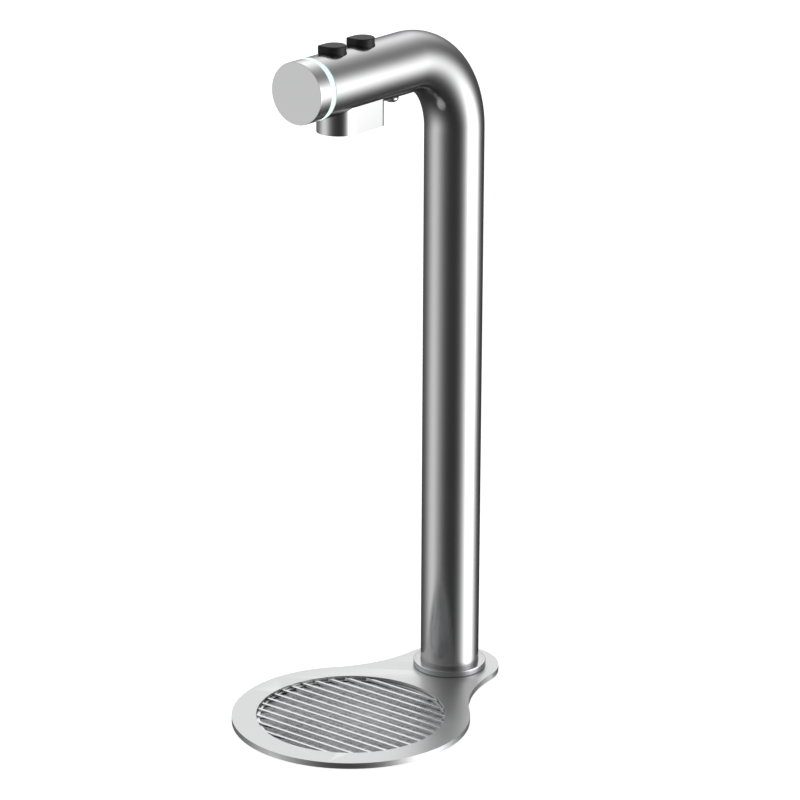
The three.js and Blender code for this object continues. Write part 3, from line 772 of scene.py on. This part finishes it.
cut_away(plate, turned("cutter", [(63.5, -1), (63.5, PLATE_T + 1)], DISC, steps=192))
cut_away(plate, turned("cutter", [(67, -1), (67, 1.3)], DISC, steps=192))
cut_away(plate, turned("cutter", [(11.6, -1), (11.6, PLATE_T + 1)], COLUMN))
cut_away(plate, ring_cutter(23.7, 29.3, 1.5, COLUMN))
cut_away(plate, ring_cutter(69.7, 75.3, 1.5, DISC))
for number in (1, 2, 3):
    low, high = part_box(f"column_screw_{number}")
    at = ((low.x + high.x) / 2, (low.y + high.y) / 2, 0)
    sink = [(3.6, -0.5), (3.6, 0.2), (1.8, 1.8), (1.8, PLATE_T + 1)]
    cut_away(plate, turned("cutter", sink, at, steps=32))
soften(plate, 0.3, 3)
keep(plate, "body", "plate_steel", "base_plate", smooth=5)

# %% [markdown]
# ## Foot collar
#
# A turned ring covers the joint of the column and the plate.

# %% Collar
TOP = collar_high.z / MM
LOW = collar_low.z / MM
collar = turned("collar", [(25, LOW), (25, TOP - 0.6), (24.83, TOP - 0.18), (24.4, TOP), (20.15, TOP),
                (20.15, LOW), (25, LOW)], COLUMN, steps=128, caps=False)
keep(collar, "body", "satin_steel", "foot_collar")

# %% [markdown]
# ## Drip grille and pan
#
# Fourteen ground bars lie on a thin flat ring in the tray. One bar is a bevelled bar stock piece, and
# the others are copies. The finished grate is then trimmed with a round cutter, so that each bar ends
# along the tray's edge. The pan below is a shallow pressed dish.

# %% Grille
BAR_COUNT = 14
BAR_PITCH = 8.6
BAR_WIDTH = 1.8
RIM_WIDTH = 2.0
RIM_HEIGHT = 0.5
grille_low, grille_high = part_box("drip_grille")
GRILLE_R = 63.0


def bar(name, centre, size):
    """A straight bar with ground edges."""
    bpy.ops.object.select_all(action="DESELECT")
    bpy.ops.mesh.primitive_cube_add(size=1, location=centre, scale=size)
    obj = bpy.context.object
    obj.name = name
    bpy.ops.object.transform_apply(location=True, rotation=True, scale=True)
    start_edit(obj)
    pick(obj, "EDGE", lambda p: all(v.z > centre[2] for v in p))
    bpy.ops.mesh.bevel(offset=min(0.25 * MM, 0.3 * size[2]), segments=2)
    return end_edit(obj)


middle_z = (grille_low.z + grille_high.z) / 2
height = grille_high.z - grille_low.z
first = bar("grille", (0, DISC_Y, middle_z), (2.2 * GRILLE_R * MM, BAR_WIDTH * MM, height))
bars = []
for i in range(BAR_COUNT):
    copy = first.copy()
    copy.data = first.data.copy()
    shift = (i - (BAR_COUNT - 1) / 2) * BAR_PITCH * MM
    copy.data.transform(Matrix.Translation((0, shift, 0)))
    bpy.context.scene.collection.objects.link(copy)
    bars.append(copy)
bpy.data.objects.remove(first)
RIM_R = GRILLE_R - 0.05
RIM_LOW = grille_low.z / MM
rim_profile = [(RIM_R, RIM_LOW), (RIM_R, RIM_LOW + RIM_HEIGHT), (RIM_R - RIM_WIDTH, RIM_LOW + RIM_HEIGHT),
               (RIM_R - RIM_WIDTH, RIM_LOW), (RIM_R, RIM_LOW)]
bars.append(turned("rim", rim_profile, DISC, steps=192, caps=False))
bpy.ops.object.select_all(action="DESELECT")
for piece in bars:
    piece.select_set(True)
bpy.context.view_layer.objects.active = bars[0]
bpy.ops.object.join()
grille = bpy.context.object
grille.name = "grille"
trim = turned("cutter", [(GRILLE_R, 0), (GRILLE_R, 6)], DISC, steps=192)
cut_away(grille, trim, "INTERSECT")
keep(grille, "drip_grille", "grille_steel", "drip_grille", smooth=10)

# %% Pan
pan_low, pan_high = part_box("drip_pan")
F = pan_low.z / MM
pan = turned("pan", [(66.7, F), (66.7, F + 0.8), (61.5, F + 0.8), (59.5, F + 0.6), (30, F + 0.5), (4, F + 0.45)],
             DISC, steps=128)
keep(pan, "body", "pan_steel", "drip_pan")

# %% Last update of the scene
bpy.context.view_layer.update()
